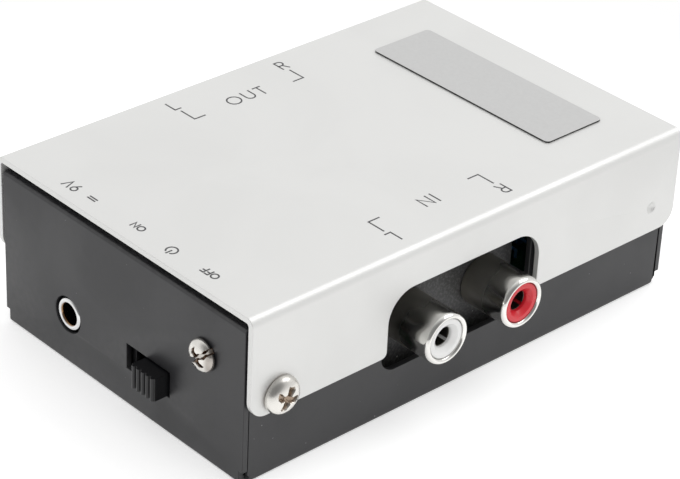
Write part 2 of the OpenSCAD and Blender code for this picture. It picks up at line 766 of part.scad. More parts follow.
module board_holes() {
    module hole(x, y, r) translate([x, y]) circle(r + pin_fit);
    module pair(place, span, turned)
        for (s = [-1, 1])
            hole(place[0] + (turned ? 0 : s * span / 2), place[1] + (turned ? s * span / 2 : 0), pin_r);
    for (sx = [-1, 1], sy = [-1, 1])
        hole(sx * standoff_x, sy * standoff_y, screw_r + hole_fit);
    both_x() for (s = [-1, 1]) {
        hole(lug_x, jack_y + s * jack_pitch / 2, pin_r);
        hole(tail_x + contact_t / 2, jack_y + s * jack_pitch / 2, pin_r);
        hole(peg_x, jack_y + s * peg_y, peg_r);
    }
    for (p = dc_pins) hole(dc_x + p[0], dc_front - p[1], pin_r);
    for (i = [-1 : 1]) hole(switch_x + i * terminal_pitch, terminal_y, pin_r);
    for (p = film_places) pair(p, film_span, true);
    for (p = disc_places) pair(p, disc_span, true);
    for (p = resistor_places) pair(p, resistor_span, false);
    for (p = can_places) pair(p, can_span, false);
    pair(diode_place, diode_span, true);
    for (sx = [-1, 1], i = [0 : 3])
        hole(sx * dip_row / 2, jack_y + (i - 1.5) * dip_pitch, 0.3);
}

module board()
    color([0.12, 0.35, 0.2]) translate([0, 0, board_z]) linear_extrude(board_t) difference() {
        square([board_w, board_l], center = true);
        board_holes();
    }

module op_amp() {
    body_w = 6.4;
    body_l = 9.6;
    body_h = 3.3;
    stand = 0.5;
    leg_t = 0.25;
    color([0.1, 0.1, 0.1]) {
        difference() {
            translate([-body_w / 2, jack_y - body_l / 2, board_top + stand]) cube([body_w, body_l, body_h]);
            translate([0, jack_y + body_l / 2, board_top + stand + body_h - 0.4]) cylinder(r = 0.8, h = 1);
        }
        both_x() for (i = [0 : 3]) translate([0, jack_y + (i - 1.5) * dip_pitch, 0]) {
            translate([body_w / 2 - e, -0.6, board_top + stand + body_h / 2])
                cube([dip_row / 2 - body_w / 2 + leg_t / 2 + e, 1.2, leg_t]);
            translate([dip_row / 2 - leg_t / 2, -0.6, board_top + 0.3])
                cube([leg_t, 1.2, stand + body_h / 2 - 0.3 + e]);
            translate([dip_row / 2, 0, board_z - 1]) cylinder(r = 0.3, h = board_t + 1.4);
        }
    }
}

module electrolytic_capacitors() {
    bung = 0.4;
    color([0.12, 0.13, 0.25]) for (p = can_places) {
        translate([p[0], p[1], board_top]) difference() {
            cylinder(r = p[2], h = can_h);
            translate([0, 0, 1.4]) rotate_extrude() translate([p[2] + 0.1, 0]) circle(bung);
            for (a = [0, 90]) rotate(a + 45)
                translate([-p[2] * 0.7, -0.1, can_h - 0.2]) cube([p[2] * 1.4, 0.2, 1]);
        }
        lead_pair(p, can_span, board_top + e);
    }
}

module film_capacitors() {
    box_w = 3.5;
    box_l = 7.3;
    box_h = 7.5;
    color([0.75, 0.2, 0.12]) for (p = film_places) {
        translate([p[0] - box_w / 2, p[1] - box_l / 2, board_top]) cube([box_w, box_l, box_h]);
        lead_pair(p, film_span, board_top + e, true);
    }
}

module ceramic_capacitors() {
    disc_r = 2.9;
    disc_t = 1.6;
    stand = 1;
    color([0.75, 0.5, 0.2]) for (p = disc_places) {
        translate([p[0] - disc_t / 2, p[1], board_top + stand + disc_r]) rod_x(disc_r, disc_t);
        lead_pair(p, disc_span, board_top + stand + disc_r * 0.6, true);
    }
}

// An axial part lying along X over its two leads
module axial(r, length, span, wire_r) {
    lift = r + 0.3;
    translate([-length / 2, 0, board_top + lift]) rod_x(r, length);
    translate([-span / 2, 0, board_top + lift]) rod_x(wire_r, span);
    for (s = [-1, 1]) {
        translate([s * span / 2, 0, board_z - 1]) cylinder(r = wire_r, h = board_t + 1 + lift);
        translate([s * span / 2, 0, board_top + lift]) sphere(wire_r);
    }
}

module resistors() {
    body_l = 6.3;
    cap_l = 1.5;
    color([0.35, 0.6, 0.75]) for (p = resistor_places) translate([p[0], p[1], 0]) {
        axial(1, body_l, resistor_span, 0.3);
        for (s = [-1, 1])
            translate([s * (body_l - cap_l) / 2 - cap_l / 2, 0, board_top + 1.3]) rod_x(1.15, cap_l);
    }
}

module diode()
    color([0.08, 0.08, 0.08]) translate([diode_place[0], diode_place[1], 0]) rotate(90)
        axial(1.3, 5, diode_span, 0.4);

// ---------- the model ----------

tray();
cover();
label_plate();
cover_screws();
ground_screw();
ground_nut();
board();
board_standoffs();
board_screws();
input_jack_housing();
input_jack_shells();
input_jack_insulator_white();
input_jack_insulator_red();
input_jack_contacts();
output_jack_housing();
output_jack_shells();
output_jack_insulator_white();
output_jack_insulator_red();
output_jack_contacts();
power_socket_body();
power_socket_bushing();
power_socket_pins();
switch_housing();
switch_base();
switch_terminals();
switch_knob();
switch_wiper();
op_amp();
electrolytic_capacitors();
film_capacitors();
ceramic_capacitors();
resistors();
diode();
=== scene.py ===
"""Finishes, prints and stage of a small phono preamp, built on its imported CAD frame.

Lengths are in metres, as the frame's are. MM turns a size in millimetres into metres.
"""

import json
import math

import bmesh
import bpy
import numpy as np
from bpy.props import FloatProperty, FloatVectorProperty, IntProperty, PointerProperty
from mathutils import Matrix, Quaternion, Vector

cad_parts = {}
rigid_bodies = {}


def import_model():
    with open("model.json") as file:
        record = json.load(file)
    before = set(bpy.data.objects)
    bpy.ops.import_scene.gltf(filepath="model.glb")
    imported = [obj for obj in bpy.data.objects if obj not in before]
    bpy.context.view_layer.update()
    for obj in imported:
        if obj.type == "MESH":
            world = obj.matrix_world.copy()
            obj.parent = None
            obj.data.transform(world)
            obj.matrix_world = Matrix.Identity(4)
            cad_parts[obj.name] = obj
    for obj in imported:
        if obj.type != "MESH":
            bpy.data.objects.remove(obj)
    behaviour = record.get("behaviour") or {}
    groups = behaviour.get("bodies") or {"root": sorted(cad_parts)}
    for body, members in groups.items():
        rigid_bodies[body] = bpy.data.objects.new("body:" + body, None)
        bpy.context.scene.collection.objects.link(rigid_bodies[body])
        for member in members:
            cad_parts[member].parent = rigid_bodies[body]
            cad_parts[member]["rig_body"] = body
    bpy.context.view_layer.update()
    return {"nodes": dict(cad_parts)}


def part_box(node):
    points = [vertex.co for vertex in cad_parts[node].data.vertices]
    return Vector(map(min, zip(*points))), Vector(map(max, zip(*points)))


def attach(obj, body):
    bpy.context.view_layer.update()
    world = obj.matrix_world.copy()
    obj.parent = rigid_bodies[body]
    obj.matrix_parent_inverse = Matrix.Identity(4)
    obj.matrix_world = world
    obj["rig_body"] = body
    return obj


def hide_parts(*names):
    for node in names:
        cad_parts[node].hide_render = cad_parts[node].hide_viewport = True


bl_info = {
    "name": "Phono preamp",
    "version": (1, 0, 0),
    "blender": (4, 5, 0),
    "location": "View3D > Sidebar > Phono preamp",
    "description": "Builds the finished pieces of a phono preamp and a stage for it",
    "category": "Mesh",
}

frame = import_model()

MM = 0.001
TURN = 2 * math.pi

# edges that turn by more than these angles, in degrees, stay sharp on cut and on turned pieces
CUT_ANGLE = 32
TURNED_ANGLE = 40

# parts on the board: node, slot, material, colour, roughness, depth of the grain and edge rounding in mm
BOARD_PARTS = (
    ("board", "board_laminate", "board_laminate", (0.02, 0.14, 0.05), (0.3, 0.4), 0.002, 0.0),
    ("op_amp", "black_plastic", "chip_plastic", (0.012, 0.012, 0.012), (0.5, 0.6), 0.006, 0.05),
    ("electrolytic_capacitors", "sleeve", "sleeve", (0.01, 0.01, 0.012), (0.25, 0.35), 0.001, 0.04),
    ("film_capacitors", "film_box", "film_box", (0.45, 0.03, 0.012), (0.35, 0.4), 0.002, 0.2),
    ("ceramic_capacitors", "ceramic", "ceramic", (0.5, 0.2, 0.04), (0.4, 0.5), 0.004, 0.3),
    ("resistors", "resistor_coat", "resistor_coat", (0.1, 0.3, 0.5), (0.35, 0.45), 0.002, 0.1),
    ("diode", "black_plastic", "diode_plastic", (0.012, 0.012, 0.012), (0.35, 0.45), 0.004, 0.1),
)

# lamps: name, direction, distance and size in metres, and power in watts
SOFTBOXES = (
    ("key_softbox", (-0.14, -0.6, 0.79), 0.9, 0.6, 1.85),
    ("overhead_softbox", (0.1, 0.1, 1.0), 1.1, 0.9, 0.1),
)
# the point that the camera looks at
AIM = Vector((-3.78, 3.94, 14.6)) * MM
WHITE = (1, 1, 1, 1)


# ---------- places that come from the frame ----------


def low_high(node):
    """A CAD node's lowest and highest corners as arrays."""
    low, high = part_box(node)
    return np.array(low), np.array(high)


def middle(node):
    """The middle of a CAD node's box."""
    low, high = low_high(node)
    return (low + high) / 2


def body_of_node(node):
    """The body that carries a CAD node."""
    return frame["nodes"][node]["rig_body"]


# ---------- settings ----------


def length(name, about, default):
    """A length property in metres."""
    limits = {"min": 0, "precision": 5}
    return FloatProperty(name=name, description=about, default=default, unit="LENGTH", **limits)


def share(name, about, default):
    """A property from 0 to 1."""
    return FloatProperty(name=name, description=about, default=default, min=0, max=1, subtype="FACTOR")


def tint(name, about, default):
    """A linear colour property."""
    limits = {"min": 0, "max": 1, "size": 3}
    return FloatVectorProperty(name=name, description=about, default=default, subtype="COLOR", **limits)


def angle(name, about, degrees):
    """An angle property, written in degrees."""
    return FloatProperty(name=name, description=about, default=math.radians(degrees), unit="ROTATION")


class CaseSettings(bpy.types.PropertyGroup):
    """Paints and edges of the folded case."""

    silver: tint("Silver paint", "Colour of the cover", (0.74, 0.74, 0.727))
    flake: share("Flake", "How metallic the silver paint is", 0.4)
    black: tint("Black paint", "Colour of the tray", (0.016, 0.016, 0.018))
    label: tint("Label plate", "Colour of the brushed plate", (0.56, 0.56, 0.555))
    edge: length("Edge rounding", "Rounding of the sheet's cut edges", 0.12 * MM)
    grain: length("Paint grain", "Depth of the paint's grain", 0.0012 * MM)


class PrintSettings(bpy.types.PropertyGroup):
    """The marks printed on the cover."""

    ink: tint("Ink", "Colour of the print", (0.055, 0.055, 0.058))
    stroke: length("Stroke", "Width of the letters' strokes", 0.26 * MM)
    film: length("Ink film", "Height of the ink above the paint", 0.02 * MM)
    side_letter: length("Side letters", "Height of the marks at the sockets", 2.4 * MM)
    end_letter: length("End letters", "Height of the marks at the switch", 1.2 * MM)


class ScrewSettings(bpy.types.PropertyGroup):
    """Heads, recesses and threads of the screws."""

    nickel: tint("Nickel", "Colour of the plating", (0.78, 0.76, 0.72))
    # this colour also paints shade round the foot of each cover screw's head
    tarnish_and_shade: tint("Tarnish", "Colour down in the recesses", (0.3, 0.23, 0.175))
    # this colour also paints shade on one side of the ground screw's head and round its foot
    stain_and_shade: tint("Stain", "Colour down in the ground screw's slot", (0.1, 0.055, 0.03))
    waves: length("Waves", "Height of the plating's unevenness", 0.03 * MM)
    pitch: length("Thread pitch", "Pitch of the threads", 0.5 * MM)
    thread: length("Thread depth", "Depth of the threads", 0.25 * MM)
    slope: FloatProperty(
        name="Wall slope", description="Fall of a recess's walls to their run", default=2.6, min=1
    )
    chewing: length("Chewing", "How far drivers have worn the recesses' edges", 0.2 * MM)
    wing: length("Recess wing", "Half width of a cross recess's wings", 0.58 * MM)
    reach: length("Recess reach", "Half length of a cross recess's wings", 1.9 * MM)
    recess: length("Recess depth", "Depth of a cross recess", 0.8 * MM)
    slot: length("Slot", "Half width of the ground screw's slot", 0.48 * MM)
    bar: length("Cross bar", "Half length of the bar across the slot", 1.5 * MM)
    slot_depth: length("Slot depth", "Depth of the ground screw's slot", 0.7 * MM)
    head_turn: angle("Head turn", "Turn of the cover screws' recesses", 65)
    slot_turn: angle("Slot turn", "Turn of the ground screw's slot", 38.6)


class SocketSettings(bpy.types.PropertyGroup):
    """Shells, insulators and moulded housings of the sockets."""

    wall: length("Shell wall", "Thickness of a drawn shell", 0.4 * MM)
    lip: length("Lip radius", "Rounding of a shell's rolled lip", 0.45 * MM)
    # bright sets where the painted shade on a shell's barrel begins behind its lip
    bright: length("Bright end", "How far behind its lip a shell starts to grow dull", 1.1 * MM)
    white: tint("White", "Colour of the white insulators", (0.86, 0.86, 0.85))
    red: tint("Red", "Colour of the red insulators", (0.68, 0.022, 0.036))
    black: tint("Black plastic", "Colour of the mouldings", (0.012, 0.012, 0.013))
    housing: tint("Housing", "Colour of the phono sockets' dusty housings", (0.026, 0.026, 0.027))
    turned_steps: IntProperty(
        name="Turned steps", description="Faces round a turned piece", default=96, min=24
    )


class StageSettings(bpy.types.PropertyGroup):
    """Camera, lamps and floor."""

    azimuth: angle("Azimuth", "Turn of the camera round the case", 226.38)
    elevation: angle("Elevation", "Height of the camera above the horizon", 31.10)
    roll: angle("Roll", "Tilt of the camera about its own axis", 2.714)
    distance: length("Distance", "From the camera to the point it looks at", 413.4 * MM)
    lens: FloatProperty(
        name="Lens", description="Focal length of the camera", default=139.2, min=10, unit="CAMERA"
    )
    room: share("Room", "How much darker metal sees the room behind the camera", 0.75)
    sky: share("Sky", "Strength of the even light from all round", 0.93)
    floor: tint("Floor", "Colour of the floor", (0.86, 0.86, 0.86))
    lift: share("Lift", "White that the floor adds near the object, as the camera sees it", 0.4)


class PreampSettings(bpy.types.PropertyGroup):
    """All the settings."""

    case: PointerProperty(type=CaseSettings)
    prints: PointerProperty(type=PrintSettings)
    screws: PointerProperty(type=ScrewSettings)
    sockets: PointerProperty(type=SocketSettings)
    stage: PointerProperty(type=StageSettings)


# ---------- surfaces ----------


def quads(rows, columns, wrap_rows=False):
    """Faces of a grid of points: each joins point (i, j) with its next row and next column.
    The last column joins the first, and so does the last row where the rows wrap."""
    i = np.arange(rows if wrap_rows else rows - 1)[:, None]
    j = np.arange(columns)[None, :]
    next_i = (i + 1) % rows
    next_j = (j + 1) % columns
    corners = [i * columns + j, next_i * columns + j, next_i * columns + next_j, i * columns + next_j]
    return np.stack(np.broadcast_arrays(*corners), axis=-1).reshape(-1, 4)


def turned(outline, steps):
    """A turned ring: a point (r, h) of its outline goes to (r cos a, r sin a, h) at each angle a."""
    a = np.arange(steps) * TURN / steps
    r, h = outline[:, :1], outline[:, 1:]
    points = np.stack(np.broadcast_arrays(r * np.cos(a), r * np.sin(a), h), axis=-1)
    return points.reshape(-1, 3), quads(len(outline), steps, wrap_rows=True)


def arc(centre, radius, start, end, steps):
    """Points (x, y) of an arc: centre + radius (cos a, sin a), with a from start to end in degrees."""
    a = np.radians(np.linspace(start, end, steps + 1))
    return np.stack([centre[0] + radius * np.cos(a), centre[1] + radius * np.sin(a)], axis=-1)


def facing(points, origin, outward):
    """Turns local points (sideways, up, outward) so that they stand on origin and face a level
    direction outward."""
    w = np.asarray(outward, float)
    v = np.array([0.0, 0.0, 1.0])
    return np.asarray(origin) + points @ np.stack([np.cross(v, w), v, w])


def block(low, high):
    """A box between two corners: its eight corners and six faces."""
    low, high = np.asarray(low, float), np.asarray(high, float)
    pick = np.array([[i & 1, i >> 1 & 1, i >> 2 & 1] for i in range(8)])
    faces = [(0, 2, 3, 1), (4, 5, 7, 6), (0, 1, 5, 4), (2, 6, 7, 3), (0, 4, 6, 2), (1, 3, 7, 5)]
    return low + pick * (high - low), np.array(faces)


# ---------- pieces ----------


def merged(mesh, smooth_angle, flatten=False):
    """Merges a mesh's doubles, and the faces in one plane if it is to be flattened, turns its faces
    outwards and makes its soft edges smooth."""
    bm = bmesh.new()
    bm.from_mesh(mesh)
    bmesh.ops.remove_doubles(bm, verts=bm.verts, dist=0.0005 * MM)
    bmesh.ops.dissolve_degenerate(bm, dist=0.0001 * MM, edges=bm.edges)
    if flatten:
        bmesh.ops.dissolve_limit(bm, angle_limit=math.radians(0.5), verts=bm.verts, edges=bm.edges)
    bmesh.ops.recalc_face_normals(bm, faces=bm.faces)
    bm.to_mesh(mesh)
    bm.free()
    mesh.shade_smooth()
    mesh.set_sharp_from_angle(angle=math.radians(smooth_angle))


def joined(name, parts):
    """One mesh from (points, faces) parts."""
    offsets = np.cumsum([0] + [len(points) for points, _ in parts])
    points = np.concatenate([points for points, _ in parts])
    faces = np.concatenate([part + offset for (_, part), offset in zip(parts, offsets)])
    mesh = bpy.data.meshes.new(name)
    mesh.from_pydata(points.tolist(), [], faces.tolist())
    return mesh


def placed(name, mesh, node, finish):
    """Puts a mesh into the scene, on its CAD node's body and its material."""
    piece = bpy.data.objects.new(name, mesh)
    bpy.context.scene.collection.objects.link(piece)
    mesh.materials.clear()
    mesh.materials.append(finish)
    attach(piece, body_of_node(node))
    return piece


def made_piece(name, parts, node, finish, marks=None):
    """One turned piece from (points, faces) parts, which stands for its CAD node. marks are the values
    of its depth attribute, part by part."""
    mesh = joined(name, parts)
    if marks is not None:
        mesh.attributes.new("depth", "FLOAT", "POINT").data.foreach_set("value", np.concatenate(marks))
    merged(mesh, TURNED_ANGLE)
    piece = placed(name, mesh, node, finish)
    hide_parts(node)


def finished_copy(node, finish, edge):
    """A copy of a CAD node with merged faces and softly rounded edges, which stands for the node."""
    mesh = frame["nodes"][node].data.copy()
    merged(mesh, CUT_ANGLE, flatten=True)
    piece = placed(node + "_finished", mesh, node, finish)
    if edge > 0:
        bevel = piece.modifiers.new("edges", "BEVEL")
        bevel.width = edge
        bevel.segments = 2
        bevel.limit_method = "ANGLE"
        bevel.angle_limit = math.radians(CUT_ANGLE)
        bevel.use_clamp_overlap = False
        bevel.harden_normals = True
    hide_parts(node)


# ---------- shader nodes ----------


def put(tree, kind, values=None, **settings):
    """Adds a node. values gives its sockets numbers or links, and settings its own choices."""
    node = tree.nodes.new("ShaderNode" + kind)
    for name, value in settings.items():
        setattr(node, name, value)
    for name, value in (values or {}).items():
        if isinstance(value, bpy.types.NodeSocket):
            tree.links.new(value, node.inputs[name])
        else:
            node.inputs[name].default_value = value
    return node


def math_node(tree, operation, a, b, clamp=False):
    """The result of one sum."""
    return put(tree, "Math", {0: a, 1: b}, operation=operation, use_clamp=clamp).outputs[0]


def ramp_between(tree, value, low, high):
    """0 below low, 1 above high and smooth between them."""
    values = {"Value": value, "From Min": low, "From Max": high}
    return put(tree, "MapRange", values, interpolation_type="SMOOTHSTEP").outputs[0]


def spread(tree, value, low, high):
    """A value from 0 to 1 carried to low and high."""
    return put(tree, "MapRange", {"Value": value, "To Min": low, "To Max": high}).outputs[0]


def mixed(tree, factor, a, b):
    """Colour a at factor 0 and b at factor 1."""
    node = put(tree, "Mix", {0: factor}, data_type="RGBA")
    for index, value in ((6, a), (7, b)):
        if isinstance(value, bpy.types.NodeSocket):
            tree.links.new(value, node.inputs[index])
        else:
            node.inputs[index].default_value = (*value, 1)
    return node.outputs[2]


def new_group(name, inputs, outputs):
    """An empty node group: its tree, the sockets that give its inputs and those that take its results.
    inputs are (name, default) numbers, outputs are (name, kind)."""
    tree = bpy.data.node_groups.new(name, "ShaderNodeTree")
    for label, default in inputs:
        socket = tree.interface.new_socket(name=label, in_out="INPUT", socket_type="NodeSocketFloat")
        socket.default_value = default
    for label, kind in outputs:
        tree.interface.new_socket(name=label, in_out="OUTPUT", socket_type="NodeSocket" + kind)
    return tree, tree.nodes.new("NodeGroupInput").outputs, tree.nodes.new("NodeGroupOutput").inputs


def noise_in(tree, scale, **look):
    """Noise over the object's own coordinates."""
    where = put(tree, "TexCoord").outputs["Object"]
    return put(tree, "TexNoise", {"Vector": where, "Scale": scale, **look}).outputs[0]


def grain_group():
    """Grain: noise at Scale grains a metre, Depth metres high, as a normal and as a value."""
    settings = [("Scale", 2000.0), ("Depth", 1e-6)]
    tree, given, result = new_group("grain", settings, [("Normal", "Vector"), ("Value", "Float")])
    noise = noise_in(tree, given["Scale"], Detail=3.0, Roughness=0.6)
    bump = put(tree, "Bump", {"Height": noise, "Distance": given["Depth"]})
    tree.links.new(bump.outputs[0], result["Normal"])
    tree.links.new(noise, result["Value"])
    return tree


def specks_group():
    """Dust specks: a speck of radius Size in the share Amount of the cells, Scale cells a metre."""
    settings = [("Scale", 600.0), ("Size", 0.1), ("Amount", 0.2)]
    tree, given, result = new_group("specks", settings, [("Mask", "Float")])
    where = put(tree, "TexCoord").outputs["Object"]
    cells = put(tree, "TexVoronoi", {"Vector": where, "Scale": given["Scale"], "Randomness": 1.0})
    chance = put(tree, "SeparateColor", {"Color": cells.outputs["Color"]})
    chosen = math_node(tree, "LESS_THAN", chance.outputs[0], given["Amount"])
    size = math_node(tree, "MULTIPLY", given["Size"], chance.outputs[1])
    inside = math_node(tree, "LESS_THAN", cells.outputs["Distance"], size)
    tree.links.new(math_node(tree, "MULTIPLY", chosen, inside), result["Mask"])
    return tree


def wear_and_sheen_group():
    """Edge wear and painted highlight: up to Amount on sharp convex edges, broken up by noise of Scale
    patches a metre.
    """
    settings = [("Amount", 0.5), ("Scale", 800.0)]
    tree, given, result = new_group("edge wear", settings, [("Mask", "Float")])
    point = put(tree, "NewGeometry").outputs["Pointiness"]
    patches = math_node(tree, "MULTIPLY", noise_in(tree, given["Scale"], Detail=2.0), given["Amount"])
    edge = ramp_between(tree, point, 0.52, 0.62)
    tree.links.new(math_node(tree, "MULTIPLY", edge, patches, clamp=True), result["Mask"])
    return tree


def smudge_group():
    """Smudges: broad soft patches, Scale of them a metre, from 0 to 1."""
    tree, given, result = new_group("smudges", [("Scale", 60.0)], [("Mask", "Float")])
    noise = noise_in(tree, given["Scale"], Detail=4.0, Distortion=0.6)
    tree.links.new(ramp_between(tree, noise, 0.35, 0.7), result["Mask"])
    return tree


GROUPS = {}


def group(tree, name, **values):
    """One of the shared node groups, with its own values."""
    makers = {"grain": grain_group, "specks": specks_group, "wear": wear_and_sheen_group, "smudges": smudge_group}
    if name not in GROUPS:
        GROUPS[name] = makers[name]()
    node = tree.nodes.new("ShaderNodeGroup")
    node.node_tree = GROUPS[name]
    for label, value in values.items():
        node.inputs[label].default_value = value
    return node


def new_material(name, **constants):
    """A material with a Principled shader. constants are values set on its own sockets."""
    material = bpy.data.materials.new(name)
    material.use_nodes = True
    tree = material.node_tree
    tree.nodes.clear()
    shader = put(tree, "BsdfPrincipled")
    for label, value in constants.items():
        shader.inputs[label.replace("_", " ")].default_value = value
    output = put(tree, "OutputMaterial")
    tree.links.new(shader.outputs[0], output.inputs["Surface"])
    return material, tree, shader


def join(tree, source, shader, label):
    """Links a socket to one of the shader's."""
    tree.links.new(source, shader.inputs[label])


def grained(tree, shader, scale, depth):
    """Gives a shader the grain's normal."""
    join(tree, group(tree, "grain", Scale=scale, Depth=depth).outputs["Normal"], shader, "Normal")


def shade(colour, factor):
    """A colour made lighter or darker by a factor."""
    return tuple(factor * part for part in colour)


# ---------- finishes ----------


def silver_paint(case):
    """Satin silver paint with fine flakes, faintly patchy, with its grain."""
    material, tree, shader = new_material("silver_paint", Metallic=case.flake, IOR=1.45)
    smudge = group(tree, "smudges", Scale=45.0).outputs[0]
    join(tree, mixed(tree, smudge, case.silver, shade(case.silver, 0.975)), shader, "Base Color")
    join(tree, spread(tree, smudge, 0.36, 0.42), shader, "Roughness")
    grained(tree, shader, 3000.0, case.grain)
    return material


def black_paint(case):
    """Satin black paint with lighter sharp edges, as wear and painted highlight, and a few dust specks.
    """
    material, tree, shader = new_material("black_paint", IOR=1.5)
    wear = group(tree, "wear", Amount=0.5).outputs[0]
    dust = group(tree, "specks", Scale=480.0, Size=0.055, Amount=0.3).outputs[0]
    # the grey on sharp edges is partly wear and partly a painted highlight
    worn = mixed(tree, wear, case.black, (0.09, 0.09, 0.09))
    join(tree, mixed(tree, dust, worn, (0.17, 0.17, 0.17)), shader, "Base Color")
    smudge = group(tree, "smudges", Scale=70.0).outputs[0]
    join(tree, spread(tree, smudge, 0.36, 0.46), shader, "Roughness")
    grained(tree, shader, 2600.0, 2 * case.grain)
    return material


def label_metal(case):
    """Brushed plate with a mottled surface; its cut edges, the faces that don't face up, are painted
    dark as shade.
    """
    material, tree, shader = new_material("label_metal", Metallic=0.35)
    mottle = group(tree, "grain", Scale=1500.0, Depth=0.8 * case.grain)
    face = mixed(tree, mottle.outputs["Value"], shade(case.label, 0.93), shade(case.label, 1.06))
    up = put(tree, "SeparateXYZ", {0: put(tree, "TexCoord").outputs["Normal"]}).outputs[2]
    # painted shade: faces that don't face up are darkened
    colour = mixed(tree, ramp_between(tree, up, 0.3, 0.75), (0.03, 0.03, 0.03), face)
    join(tree, colour, shader, "Base Color")
    join(tree, spread(tree, mottle.outputs["Value"], 0.4, 0.5), shader, "Roughness")
    join(tree, mottle.outputs["Normal"], shader, "Normal")
    return material


def plated(name, colour, tarnish_and_shade=None, rough=(0.16, 0.3), waves=0.0, dull=0.0):
    """Plated metal with smudges. tarnish_and_shade tints the points whose depth attribute is high:
    tarnish and stains in hollows, and painted shade where the marks stand for shade. dull makes them
    rougher.
    waves is the height in metres of the unevenness that breaks up the reflections."""
    material, tree, shader = new_material(name, Metallic=1.0)
    smudge = group(tree, "smudges", Scale=90.0).outputs[0]
    face = mixed(tree, smudge, colour, shade(colour, 0.88))
    roughness = spread(tree, smudge, *rough)
    if tarnish_and_shade is not None:
        depth = put(tree, "Attribute", attribute_name="depth").outputs["Fac"]
        face = mixed(tree, depth, face, tarnish_and_shade)
        roughness = math_node(tree, "ADD", roughness, math_node(tree, "MULTIPLY", depth, dull))
    join(tree, face, shader, "Base Color")
    join(tree, roughness, shader, "Roughness")
    if waves > 0:
        grained(tree, shader, 700.0, waves)
    else:
        grained(tree, shader, 4000.0, 0.0006 * MM)
    return material


def plastic(name, colour, rough, grain, scale=3500.0, dust=0.0, film=0.0):
    """Moulded plastic with a grain that is grain mm deep. dust is the share of specks on it, and film
    the lightness of the grey dust that lies in patches between them."""
    material, tree, shader = new_material(name, IOR=1.5)
    smudge = group(tree, "smudges", Scale=120.0).outputs[0]
    face = mixed(tree, smudge, colour, shade(colour, 0.94))
    if dust > 0:
        patches = group(tree, "grain", Scale=2200.0, Depth=0.0).outputs["Value"]
        face = mixed(tree, ramp_between(tree, patches, 0.42, 0.68), face, (film, film, film))
        specks = group(tree, "specks", Scale=500.0, Size=0.1, Amount=dust).outputs[0]
        face = mixed(tree, specks, face, (0.35, 0.35, 0.35))
    join(tree, face, shader, "Base Color")
    join(tree, spread(tree, smudge, *rough), shader, "Roughness")
    grained(tree, shader, scale, grain * MM)
    return material


def ink(prints):
    """Matte printing ink, a little uneven."""
    material, tree, shader = new_material("print_ink")
    smudge = group(tree, "smudges", Scale=500.0).outputs[0]
    join(tree, mixed(tree, smudge, prints.ink, shade(prints.ink, 1.3)), shader, "Base Color")
    join(tree, spread(tree, smudge, 0.5, 0.6), shader, "Roughness")
    return material


# ---------- prints ----------


def line(*points):
    """A stroke through some points."""
    return np.array(points, float)


def glyph(letter):
    """The strokes of a letter one unit high, and its width. Each stroke is a line of (x, y) points."""
    ring = 28
    bowl = np.concatenate([line((0, 0), (0, 1)), arc((0.28, 0.74), 0.26, 90, -90, 12), line((0, 0.48))])
    cup = np.concatenate([line((0, 1)), arc((0.35, 0.35), 0.35, 180, 360, 14), line((0.7, 1))])
    dashes = [line((x, 0.34), (x + 0.22, 0.34)) for x in (0, 0.34, 0.68)]
    made = {
        "O": (1.0, [arc((0.5, 0.5), 0.5, 90, 450, ring)]),
        "N": (0.74, [line((0, 0), (0, 1), (0.74, 0), (0.74, 1))]),
        "F": (0.52, [line((0, 0), (0, 1), (0.52, 1)), line((0, 0.52), (0.47, 0.52))]),
        "L": (0.46, [line((0, 1), (0, 0), (0.46, 0))]),
        "R": (0.56, [bowl, line((0.3, 0.48), (0.56, 0))]),
        "I": (0.0, [line((0, 0), (0, 1))]),
        "U": (0.7, [cup]),
        "T": (0.58, [line((0, 1), (0.58, 1)), line((0.29, 1), (0.29, 0))]),
        "V": (0.7, [line((0, 1), (0.35, 0), (0.7, 1))]),
        "9": (0.62, [arc((0.31, 0.69), 0.31, 0, 360, ring), line((0.59, 0.56), (0.2, 0))]),
        "power": (1.0, [arc((0.5, 0.46), 0.46, 125, 415, ring), line((0.5, 0.5), (0.5, 1))]),
        "dc": (0.9, [line((0, 0.62), (0.9, 0.62)), *dashes]),
    }
    return made[letter]


def ribbon(stroke, width, bottom, top):
    """A flat ribbon along a line of (x, y) points: each point goes half the width to both sides,
    along the mean of its two segments' normals, at the bottom and at the top height."""
    closed = np.allclose(stroke[0], stroke[-1])
    points = stroke[:-1] if closed else stroke
    ahead = np.roll(points, -1, axis=0) - points
    behind = points - np.roll(points, 1, axis=0)
    if not closed:
        ahead[-1], behind[0] = behind[-1], ahead[0]
    unit_a = ahead / np.linalg.norm(ahead, axis=1, keepdims=True)
    unit_b = behind / np.linalg.norm(behind, axis=1, keepdims=True)
    left_a = np.stack([-unit_a[:, 1], unit_a[:, 0]], axis=-1)
    left_b = np.stack([-unit_b[:, 1], unit_b[:, 0]], axis=-1)
    normal = left_a + left_b
    # the least share keeps the mitre of a sharp corner short
    least_share = 0.35
    normal /= np.maximum((normal * left_a).sum(1, keepdims=True), least_share)
    if not closed:
        points = points.copy()
        points[0] -= unit_a[0] * width / 2
        points[-1] += unit_a[-1] * width / 2
    side = normal * width / 2
    ring = [np.column_stack([points + s * side, np.full(len(points), z)])
            for s, z in ((1, top), (1, bottom), (-1, bottom), (-1, top))]
    grid = np.stack(ring, axis=1)
    faces = quads(len(points), 4, wrap_rows=closed)
    if not closed:
        last = 4 * (len(points) - 1)
        faces = np.concatenate([faces, [[0, 1, 2, 3]], [[last + 3, last + 2, last + 1, last]]])
    return grid.reshape(-1, 3), faces


def word_strokes(letters, height, gap):
    """The strokes of a row of letters, starting at x = 0, and the row's width."""
    strokes, x = [], 0.0
    for letter in letters:
        width, shape = glyph(letter)
        strokes += [stroke * height + (x, 0) for stroke in shape]
        x += width * height + gap
    return strokes, x - gap


